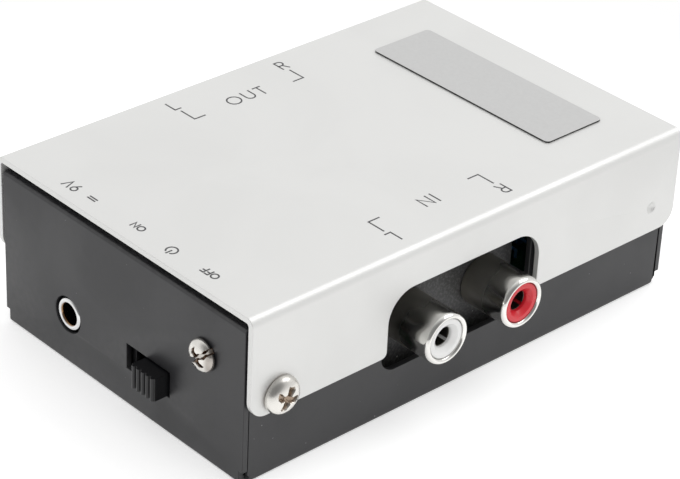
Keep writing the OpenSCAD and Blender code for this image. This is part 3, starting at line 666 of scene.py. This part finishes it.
def printed(strokes, at, reading, prints, surface, layer=0):
    """Ribbons for strokes on the cover. at is where their origin goes, and reading the direction that
    they read in, in degrees. Neighbours differ by a step in height, so that no two faces coincide."""
    sink, step = 0.03 * MM, 0.001 * MM
    c, s = math.cos(math.radians(reading)), math.sin(math.radians(reading))
    turn = np.array([[c, s], [-s, c]])
    made = []
    for number, stroke in enumerate(strokes):
        top = surface + prints.film - (number + layer) % 4 * step
        made.append(ribbon(stroke @ turn + np.asarray(at), prints.stroke, surface - sink, top))
    return made


def print_parts(prints):
    """All the marks on the cover: the sides' words, letters and brackets, and the row at the switch."""
    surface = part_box("cover")[1].z
    pair_y = middle("input_jack_housing")[1]
    word_x, letter_x, bracket_x, bracket_leg = 19.9 * MM, 24.4 * MM, 20.2 * MM, 3.3 * MM
    bracket_y, bracket_foot = 11.45 * MM, 2.1 * MM
    row_y = 40.9 * MM
    high, small = prints.side_letter, prints.end_letter

    def side_word(letters, side, x, y):
        # the tops of the letters point away from the case's middle
        strokes, width = word_strokes(letters, high, 0.42 * high)
        return printed(strokes, (side * x, y + side * width / 2), -90 * side, prints, surface)

    parts = []
    for side, word in ((-1, "IN"), (1, "OUT")):
        parts += side_word(word, side, word_x, pair_y)
        for end, letter in ((1, "L"), (-1, "R")):
            y = pair_y + end * bracket_y
            parts += side_word(letter, side, letter_x, y)
            outer, inner = side * (bracket_x + bracket_leg), side * bracket_x
            corner = line((outer, y), (inner, y), (inner, y - end * bracket_foot))
            parts += printed([corner], (0, 0), 0, prints, surface, layer=2)
    row = (
        (["O", "F", "F"], -18.3 * MM, small),
        (["power"], -9.4 * MM, 2.0 * MM),
        (["O", "N"], -1.5 * MM, small),
        (["dc"], 9.6 * MM, 1.8 * MM),
        (["9", "V"], 13.9 * MM, 1.8 * MM),
    )
    for letters, x, height in row:
        strokes, _ = word_strokes(letters, height, 0.3 * height)
        parts += printed(strokes, (x, row_y), 0, prints, surface)
    return parts


# ---------- screws ----------


def chewed(x, y, size):
    """How far a driver has worn a recess's edge back at (x, y): size times a product of two sines."""
    return size * np.sin(2.9 * x / MM + 0.6) * np.sin(3.7 * y / MM + 1.1)


def cross_depth(x, y, screws):
    """Depth of a cross recess: two bars whose walls slope in and whose floor rises from the middle to
    the ends, with chewed edges. Outside the bars it is 0."""
    short, long = np.minimum(abs(x), abs(y)), np.maximum(abs(x), abs(y))
    inside = np.minimum(screws.wing - short, screws.reach - long) + chewed(x, y, screws.chewing)
    return np.clip(screws.slope * inside, 0, screws.recess * (1 - 0.5 * long / screws.reach))


def slot_depth(x, y, screws):
    """Depth of a slot along x, right across the head, with a short bar across it and chewed edges."""
    short_bar = np.minimum(screws.slot - abs(x), screws.bar - abs(y))
    inside = np.maximum(screws.slot - abs(y), short_bar) + chewed(x, y, screws.chewing)
    return np.clip(screws.slope * inside, 0, screws.slot_depth)


def turned_by(angle, x, y):
    """The coordinates of (x, y) in axes that are turned by the angle."""
    c, s = math.cos(angle), math.sin(angle)
    return c * x + s * y, c * y - s * x


def head_surface(screws, radius, height, recess, turn, fullness, floor, wall, rim=0.0):
    """A domed screw head on z = 0, from its axis out to its rim and in to its foot. Its height at radius
    r is side + dome (1 - (r / radius)^fullness)^(1 / power), less the depth of its recess, whose axes
    have a turn. Returns its points, its faces and the mark of each point: floor on the recess's floor
    and wall on its walls, which are tarnished, rim on one side, where x is more than half the radius, as
    painted shade, and a full mark on the foot under the rim, as painted shade."""
    steps, rings = 192, 64
    power = 2.2
    side = 0.16 * height
    a = np.arange(steps) * TURN / steps
    r = (1 - (1 - np.linspace(0, 1, rings)) ** power)[:, None]
    x, y = radius * r * np.cos(a), radius * r * np.sin(a)
    dome = (height - side) * (1 - r**fullness) ** (1 / power)
    dip = np.minimum(recess(*turned_by(turn, x, y), screws), side + dome)
    face = np.stack([x, y, side + dome - dip], axis=-1)
    foot = face[-1:] * (0.9, 0.9, 0)
    grid = np.concatenate([face, foot, 0 * foot])
    sunk = dip / float(dip.max())
    # painted shade: rim darkens the head on the side where x is high, the side that is in shade
    edge = rim * np.clip(4 * x / radius - 2, 0, 1)
    tarnish_and_shade = np.clip(floor * sunk + 4 * wall * sunk * (1 - sunk) + edge, 0, 1)
    # painted shade: the foot under the rim and the bottom are marked in full, darkening the head's base
    # where shade falls
    tarnish_and_shade = np.concatenate([tarnish_and_shade, np.ones((2, steps))])
    return grid.reshape(-1, 3), quads(len(grid), steps), tarnish_and_shade.reshape(-1)


def threaded_shank(screws, length):
    """A threaded shank along -z: its radius falls by the thread's depth, as a triangle wave of
    z / pitch - angle / turn, and its end is pointed off."""
    steps, rows_per_turn = 36, 6
    radius = 1.5 * MM
    a = np.arange(steps) * TURN / steps
    rows = int(length / screws.pitch * rows_per_turn)
    z = np.linspace(0.4 * MM, -length, rows)[:, None]
    wave = abs(2 * ((z / screws.pitch - a / TURN) % 1) - 1)
    r = radius - screws.thread * wave
    fade = np.clip((z + length) / (1.2 * screws.pitch), 0.0, 1.0)
    point = radius - screws.thread * (1.4 - 0.4 * fade)
    r = np.where(fade < 1, np.minimum(r, point), r)
    grid = np.stack([r * np.cos(a), r * np.sin(a), np.broadcast_to(z, r.shape)], axis=-1)
    first, last = grid[:1] * (0, 0, 1), grid[-1:] * (0, 0, 1)
    grid = np.concatenate([first, grid, last])
    return grid.reshape(-1, 3), quads(len(grid), steps)


def standing(head, shank, origin, outward):
    """A screw's head and shank on a surface at origin, as parts and the marks of their points."""
    points, faces, tarnish_and_shade = head
    thread, thread_faces = shank
    parts = [(facing(points, origin, outward), faces), (facing(thread, origin, outward), thread_faces)]
    return parts, [tarnish_and_shade, np.zeros(len(thread))]


# ---------- sockets ----------


def reach(node):
    """How far a socket's piece reaches from the case's middle, along x: its back and its front."""
    low, high = low_high(node)
    return sorted((abs(low[0]), abs(high[0])))


def shell_outline(sockets, back, front, housing_face, flange):
    """Half section of a drawn shell, as (radius, distance): a flange, a neck through the housing's wall,
    a shoulder on its face, a straight barrel that ends in a quarter ellipse twice as long as it is deep,
    and a lip rolled inwards on a round arc."""
    wall, lip = sockets.wall, sockets.lip
    barrel = flange - 0.6 * MM
    neck = barrel - 0.3 * MM
    inner = neck - wall
    shoulder = housing_face + 0.05 * MM
    corner = 0.18 * MM
    return np.concatenate([
        [(inner, back), (flange, back), (flange, back + wall), (neck, back + wall), (neck, shoulder)],
        arc((barrel - corner, shoulder + corner), corner, -90, 0, 4),
        arc((0, 0), lip, 0, 90, 12)[:-1] * (1, 2) + (barrel - lip, front - 2 * lip),
        arc((barrel - lip, front - lip), lip, 90, 235, 14),
        [(barrel - wall, front - 2.1 * lip), (barrel - wall, shoulder + wall), (inner, shoulder + wall)],
    ])


def insulator_outline(back, front, outer, housing_face):
    """Half section of an insulator: a stepped plug whose face is a flat ring and then a funnel
    that leads to the pin's hole."""
    bore = 1.7 * MM
    wide_bore = bore + 0.45 * MM
    seat = outer - 0.3 * MM
    step = housing_face + 0.5 * MM
    neck = front - 0.6 * MM
    land = bore + 0.72 * MM
    face = outer - 0.52 * MM
    soft = 0.08 * MM
    return np.concatenate([
        [(wide_bore, back), (seat, back), (seat, step), (outer, step), (outer, neck - 0.02 * MM)],
        [(face, neck)],
        arc((face - soft, front - soft), soft, 0, 90, 4),
        arc((land + soft, front - soft), soft, 90, 150, 3),
        [(bore + 0.05 * MM, front - 0.62 * MM), (bore, front - 0.75 * MM), (bore, front - 1.2 * MM)],
        [(wide_bore, front - 1.25 * MM)],
    ])


def bushing_outline(back, front, radius, bore, rim):
    """Half section of the power socket's bushing: a tube whose rim is rounded on both sides."""
    return np.concatenate([
        [(bore, back), (radius, back)],
        arc((radius - rim, front - rim), rim, 0, 90, 8),
        arc((bore + rim, front - rim), rim, 90, 180, 8),
    ])


# ---------- operators ----------


class PREAMP_OT_case(bpy.types.Operator):
    """Builds the folded tray, the cover and the label plate."""

    bl_idname = "preamp.case"
    bl_label = "Case"

    def execute(self, context):
        case = context.scene.preamp.case
        finished_copy("cover", silver_paint(case), case.edge)
        finished_copy("tray", black_paint(case), case.edge)
        finished_copy("label_plate", label_metal(case), 0.06 * MM)
        return {"FINISHED"}


class PREAMP_OT_prints(bpy.types.Operator):
    """Prints the plain marks on the cover."""

    bl_idname = "preamp.prints"
    bl_label = "Prints"

    def execute(self, context):
        prints = context.scene.preamp.prints
        mesh = joined("cover_prints", print_parts(prints))
        mesh.validate()
        placed("cover_prints", mesh, "cover", ink(prints))
        return {"FINISHED"}


class PREAMP_OT_screws(bpy.types.Operator):
    """Turns the cover screws and the ground screw, and plates the small fasteners."""

    bl_idname = "preamp.screws"
    bl_label = "Screws"

    def execute(self, context):
        screws = context.scene.preamp.screws
        self.cover_screws(screws)
        self.ground_screw(screws)
        zinc = plated("zinc", (0.62, 0.61, 0.58), rough=(0.3, 0.42))
        finished_copy("ground_nut", zinc, 0.15 * MM)
        finished_copy("board_standoffs", zinc, 0.12 * MM)
        finished_copy("board_screws", plated("board_screw_nickel", screws.nickel), 0.1 * MM)
        return {"FINISHED"}

    def cover_screws(self, screws):
        """Both cover screws, on the cover's skirts, with tarnished recess floors and painted shade round
        the foot of each head.
        """
        low, high = low_high("cover_screws")
        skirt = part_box("cover")[1].x
        radius, height = (high[1] - low[1]) / 2, high[0] - skirt
        look = {"fullness": 3.0, "floor": 1.0, "wall": 0.4}
        head = head_surface(screws, radius, height, cross_depth, screws.head_turn, **look)
        shank = threaded_shank(screws, length=5 * MM)
        _, y, z = middle("cover_screws")
        parts, marks = [], []
        for side in (-1, 1):
            screw_parts, screw_marks = standing(head, shank, (side * skirt, y, z), (side, 0, 0))
            parts += screw_parts
            marks += screw_marks
        nickel = plated("nickel", screws.nickel, screws.tarnish_and_shade, waves=screws.waves)
        made_piece("cover_screws_turned", parts, "cover_screws", nickel, marks)

    def ground_screw(self, screws):
        """The ground screw, a little way off the end plate, with stains on the walls of its slot, and
        painted shade on one side of its head and round its foot.
        """
        low, high = low_high("ground_screw")
        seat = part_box("tray")[1].y + 0.05 * MM
        radius, height = (high[0] - low[0]) / 2, high[1] - seat
        # rim paints shade on one side of the ground screw's head
        look = {"fullness": 2.6, "floor": 0.35, "wall": 1.0, "rim": 0.5}
        head = head_surface(screws, radius, height, slot_depth, screws.slot_turn, **look)
        shank = threaded_shank(screws, length=6 * MM)
        x, _, z = middle("ground_screw")
        parts, marks = standing(head, shank, (x, seat, z), (0, 1, 0))
        stained_shaded = plated("stained_nickel", screws.nickel, screws.stain_and_shade, waves=screws.waves)
        made_piece("ground_screw_turned", parts, "ground_screw", stained_shaded, marks)


class PREAMP_OT_phono_sockets(bpy.types.Operator):
    """Builds the shells, insulators, housings and contacts of both socket pairs."""

    bl_idname = "preamp.phono_sockets"
    bl_label = "Phono sockets"

    def execute(self, context):
        sockets = context.scene.preamp.sockets
        # the second colour is painted shade for the shells' barrels inside the housing
        chrome = plated("chrome", (0.82, 0.81, 0.78), (0.5, 0.48, 0.42), (0.1, 0.18), dull=0.28)
        colours = {
            "white": plastic("white_plastic", sockets.white, (0.25, 0.32), 0.001),
            "red": plastic("red_plastic", sockets.red, (0.22, 0.3), 0.001),
        }
        dusty = {"scale": 3000.0, "dust": 0.25, "film": 0.07}
        black = plastic("housing_plastic", sockets.housing, (0.45, 0.6), 0.02, **dusty)
        # the contacts' tin is painted dark as shade down in the sockets' holes
        tin_in_shade = plated("contact_metal", (0.26, 0.25, 0.22), rough=(0.25, 0.4))
        for pair, side in (("input", -1), ("output", 1)):
            self.shells(sockets, pair, side, chrome)
            for colour, finish in colours.items():
                self.insulator(sockets, pair, side, colour, finish)
            finished_copy(pair + "_jack_housing", black, 0.18 * MM)
            finished_copy(pair + "_jack_contacts", tin_in_shade, 0.05 * MM)
        return {"FINISHED"}

    def shells(self, sockets, pair, side, chrome):
        """Both drawn shells of a pair, each with its lug. Behind their bright ends the barrels are
        painted darker and rougher, as painted shade inside the housing's recess, and the lugs are
        painted fully shaded.
        """
        node = pair + "_jack_shells"
        low, high = low_high(node)
        back, tip = reach(node)
        axes = [middle(f"{pair}_jack_insulator_{colour}") for colour in ("white", "red")]
        flange = (high[1] - low[1] - abs(axes[0][1] - axes[1][1])) / 2
        outline = shell_outline(sockets, back, tip, reach(pair + "_jack_housing")[1], flange)
        points, faces = turned(outline, sockets.turned_steps)
        # painted shade: the barrel is darkened and roughened from its bright end back into the housing's
        # recess
        dull = np.clip((tip - sockets.bright - points[:, 2]) / sockets.bright, 0, 1)
        lug_half, lug_overlap = 1.1 * MM, 0.3 * MM
        parts, marks = [], []
        for _, y, z in axes:
            parts.append((facing(points, (0, y, z), (side, 0, 0)), faces))
            lug_low = (side * back, y - lug_half, low[2])
            lug_high = (side * (back + sockets.wall), y + lug_half, z - flange + lug_overlap)
            parts.append(block(lug_low, lug_high))
            # the lugs, hidden inside the housing, are painted fully shaded
            marks += [dull, np.ones(8)]
        made_piece(node + "_drawn", parts, node, chrome, marks)

    def insulator(self, sockets, pair, side, colour, finish):
        """One turned insulator, on its CAD node's axis."""
        node = f"{pair}_jack_insulator_{colour}"
        low, high = low_high(node)
        back, front = reach(node)
        outer = (high[1] - low[1]) / 2
        outline = insulator_outline(back, front, outer, reach(pair + "_jack_housing")[1])
        points, faces = turned(outline, sockets.turned_steps)
        _, y, z = middle(node)
        parts = [(facing(points, (0, y, z), (side, 0, 0)), faces)]
        made_piece(node + "_turned", parts, node, finish)


class PREAMP_OT_power(bpy.types.Operator):
    """Builds the power socket and the slide switch."""

    bl_idname = "preamp.power"
    bl_label = "Power socket and switch"

    def execute(self, context):
        sockets = context.scene.preamp.sockets
        self.bushing(sockets)
        black = plastic("switch_plastic", sockets.black, (0.4, 0.5), 0.006)
        knob = plastic("knob_plastic", (0.004, 0.004, 0.005), (0.28, 0.36), 0.004)
        phenolic = plastic("phenolic", (0.1, 0.045, 0.02), (0.5, 0.6), 0.01)
        tin = plated("tin", (0.66, 0.65, 0.62), rough=(0.3, 0.45))
        brass = plated("wiper_metal", (0.83, 0.66, 0.36))
        finished_copy("power_socket_body", black, 0.1 * MM)
        finished_copy("power_socket_pins", tin, 0.0)
        finished_copy("switch_housing", black, 0.1 * MM)
        finished_copy("switch_knob", knob, 0.05 * MM)
        finished_copy("switch_base", phenolic, 0.08 * MM)
        finished_copy("switch_terminals", tin, 0.0)
        finished_copy("switch_wiper", brass, 0.04 * MM)
        return {"FINISHED"}

    def bushing(self, sockets):
        """The power socket's turned bushing, brown inside its bore."""
        node = "power_socket_bushing"
        low, high = low_high(node)
        x, _, z = middle(node)
        bore, rim = 1.8 * MM, 0.44 * MM
        outline = bushing_outline(low[1], high[1], (high[0] - low[0]) / 2, bore, rim)
        points, faces = turned(outline, sockets.turned_steps)
        brown = np.clip((bore + 0.6 * rim - np.hypot(points[:, 0], points[:, 1])) / (0.4 * rim), 0, 1)
        chrome = plated("bushing_chrome", (0.8, 0.8, 0.8), (0.3, 0.17, 0.08), rough=(0.1, 0.18))
        parts = [(facing(points, (x, 0, z), (0, 1, 0)), faces)]
        made_piece(node + "_turned", parts, node, chrome, [brown])


class PREAMP_OT_board(bpy.types.Operator):
    """Finishes the circuit board and the parts on it."""

    bl_idname = "preamp.board"
    bl_label = "Circuit board"

    def execute(self, context):
        for node, slot, name, colour, rough, grain, edge in BOARD_PARTS:
            finished_copy(node, plastic(name, colour, rough, grain), edge * MM)
        return {"FINISHED"}


def towards_camera(stage):
    """The direction from the object to the camera."""
    flat = math.cos(stage.elevation)
    x = math.sin(stage.azimuth) * flat
    y = -math.cos(stage.azimuth) * flat
    return Vector((x, y, math.sin(stage.elevation)))


class PREAMP_OT_stage(bpy.types.Operator):
    """Sets up the floor, the light and the camera."""

    bl_idname = "preamp.stage"
    bl_label = "Stage"

    def execute(self, context):
        stage = context.scene.preamp.stage
        context.scene.view_settings.view_transform = "Standard"
        self.floor(context, stage)
        self.sky(context, stage)
        for softbox in SOFTBOXES:
            self.softbox(context, *softbox)
        self.camera(context, stage)
        return {"FINISHED"}

    def floor(self, context, stage):
        """A round pale floor, which turns plain white for the camera away from the object."""
        radius = 2.0
        disc = arc((0, 0), radius, 0, 360, 96)[:-1]
        mesh = bpy.data.meshes.new("floor")
        mesh.from_pydata([(x, y, 0.0) for x, y in disc], [], [list(range(len(disc)))])
        floor = bpy.data.objects.new("floor", mesh)
        context.scene.collection.objects.link(floor)
        material, tree, shader = new_material("floor_paper", Roughness=0.9)
        shader.inputs["Base Color"].default_value = (*stage.floor, 1)
        where = put(tree, "TexCoord").outputs["Object"]
        away = put(tree, "VectorMath", {0: where}, operation="LENGTH").outputs["Value"]
        rays = put(tree, "LightPath")
        seen = math_node(tree, "MAXIMUM", rays.outputs["Is Camera Ray"], rays.outputs["Is Glossy Ray"])
        seen = math_node(tree, "MAXIMUM", seen, rays.outputs["Is Transmission Ray"])
        fade = math_node(tree, "MULTIPLY", ramp_between(tree, away, 0.05, 0.13), seen)
        lift = math_node(tree, "MULTIPLY", stage.lift, seen)
        near = put(tree, "Emission", {"Color": WHITE, "Strength": lift})
        lifted = put(tree, "AddShader", {0: shader.outputs[0], 1: near.outputs[0]})
        white = put(tree, "Emission", {"Color": WHITE, "Strength": 1.0})
        blend = put(tree, "MixShader", {0: fade, 1: lifted.outputs[0], 2: white.outputs[0]})
        output = next(node for node in tree.nodes if node.type == "OUTPUT_MATERIAL")
        tree.links.new(blend.outputs[0], output.inputs["Surface"])
        mesh.materials.append(material)

    def sky(self, context, stage):
        """Even white light from all round. Metal sees a darker room behind the camera."""
        world = bpy.data.worlds.new("sky")
        world.use_nodes = True
        tree = world.node_tree
        tree.nodes.clear()
        rays = put(tree, "LightPath")
        camera_ray, clear_ray = rays.outputs["Is Camera Ray"], rays.outputs["Is Transmission Ray"]
        seen = math_node(tree, "MAXIMUM", camera_ray, clear_ray)
        direction = put(tree, "TexCoord").outputs["Generated"]
        back = towards_camera(stage)
        aligned = put(tree, "VectorMath", {0: direction, 1: back}, operation="DOT_PRODUCT")
        behind = ramp_between(tree, aligned.outputs["Value"], 0.1, 0.95)
        dark = math_node(tree, "MULTIPLY", behind, stage.room)
        dark = math_node(tree, "MULTIPLY", dark, rays.outputs["Is Glossy Ray"])
        strength = math_node(tree, "MULTIPLY", math_node(tree, "SUBTRACT", 1.0, dark), stage.sky)
        light = put(tree, "Background", {"Color": WHITE, "Strength": strength})
        backdrop = put(tree, "Background", {"Color": WHITE, "Strength": 1.0})
        blend = put(tree, "MixShader", {0: seen, 1: light.outputs[0], 2: backdrop.outputs[0]})
        tree.links.new(blend.outputs[0], put(tree, "OutputWorld").inputs["Surface"])
        context.scene.world = world

    def softbox(self, context, name, direction, distance, size, power):
        """A square lamp that looks at the object from one direction."""
        lamp = bpy.data.lights.new(name, "AREA")
        lamp.size = size
        lamp.energy = power
        box = bpy.data.objects.new(name, lamp)
        away = Vector(direction).normalized()
        box.location = away * distance
        box.rotation_mode = "QUATERNION"
        box.rotation_quaternion = (-away).to_track_quat("-Z", "Y")
        context.scene.collection.objects.link(box)

    def camera(self, context, stage):
        """A camera that looks at the case's middle from azimuth and elevation, turned by its roll."""
        back = towards_camera(stage)
        data = bpy.data.cameras.new("camera")
        data.lens = stage.lens
        data.sensor_width = 36
        data.clip_start = 0.01
        camera = bpy.data.objects.new("camera", data)
        camera.location = AIM + back * stage.distance
        camera.rotation_mode = "QUATERNION"
        camera.rotation_quaternion = (-back).to_track_quat("-Z", "Y") @ Quaternion((0, 0, 1), stage.roll)
        context.scene.collection.objects.link(camera)
        context.scene.camera = camera


PIECES = [
    PREAMP_OT_case,
    PREAMP_OT_prints,
    PREAMP_OT_screws,
    PREAMP_OT_phono_sockets,
    PREAMP_OT_power,
    PREAMP_OT_board,
    PREAMP_OT_stage,
]


class PREAMP_PT_sidebar(bpy.types.Panel):
    """The settings and a button for each group of pieces."""

    bl_idname = "PREAMP_PT_sidebar"
    bl_label = "Phono preamp"
    bl_space_type = "VIEW_3D"
    bl_region_type = "UI"
    bl_category = "Phono preamp"

    def draw(self, context):
        settings = context.scene.preamp
        for part in ("case", "prints", "screws", "sockets", "stage"):
            column = self.layout.box().column()
            group_settings = getattr(settings, part)
            for name in group_settings.bl_rna.properties.keys():
                if name not in ("rna_type", "name"):
                    column.prop(group_settings, name)
        for piece in PIECES:
            self.layout.operator(piece.bl_idname)


CLASSES = [
    CaseSettings,
    PrintSettings,
    ScrewSettings,
    SocketSettings,
    StageSettings,
    PreampSettings,
    *PIECES,
    PREAMP_PT_sidebar,
]


def register():
    for made in CLASSES:
        bpy.utils.register_class(made)
    bpy.types.Scene.preamp = PointerProperty(type=PreampSettings)


def unregister():
    del bpy.types.Scene.preamp
    for made in reversed(CLASSES):
        bpy.utils.unregister_class(made)


def main():
    """Builds everything."""
    register()
    bpy.ops.preamp.stage()
    bpy.ops.preamp.case()
    bpy.ops.preamp.prints()
    bpy.ops.preamp.screws()
    bpy.ops.preamp.phono_sockets()
    bpy.ops.preamp.power()
    bpy.ops.preamp.board()


if __name__ == "__main__":
    main()
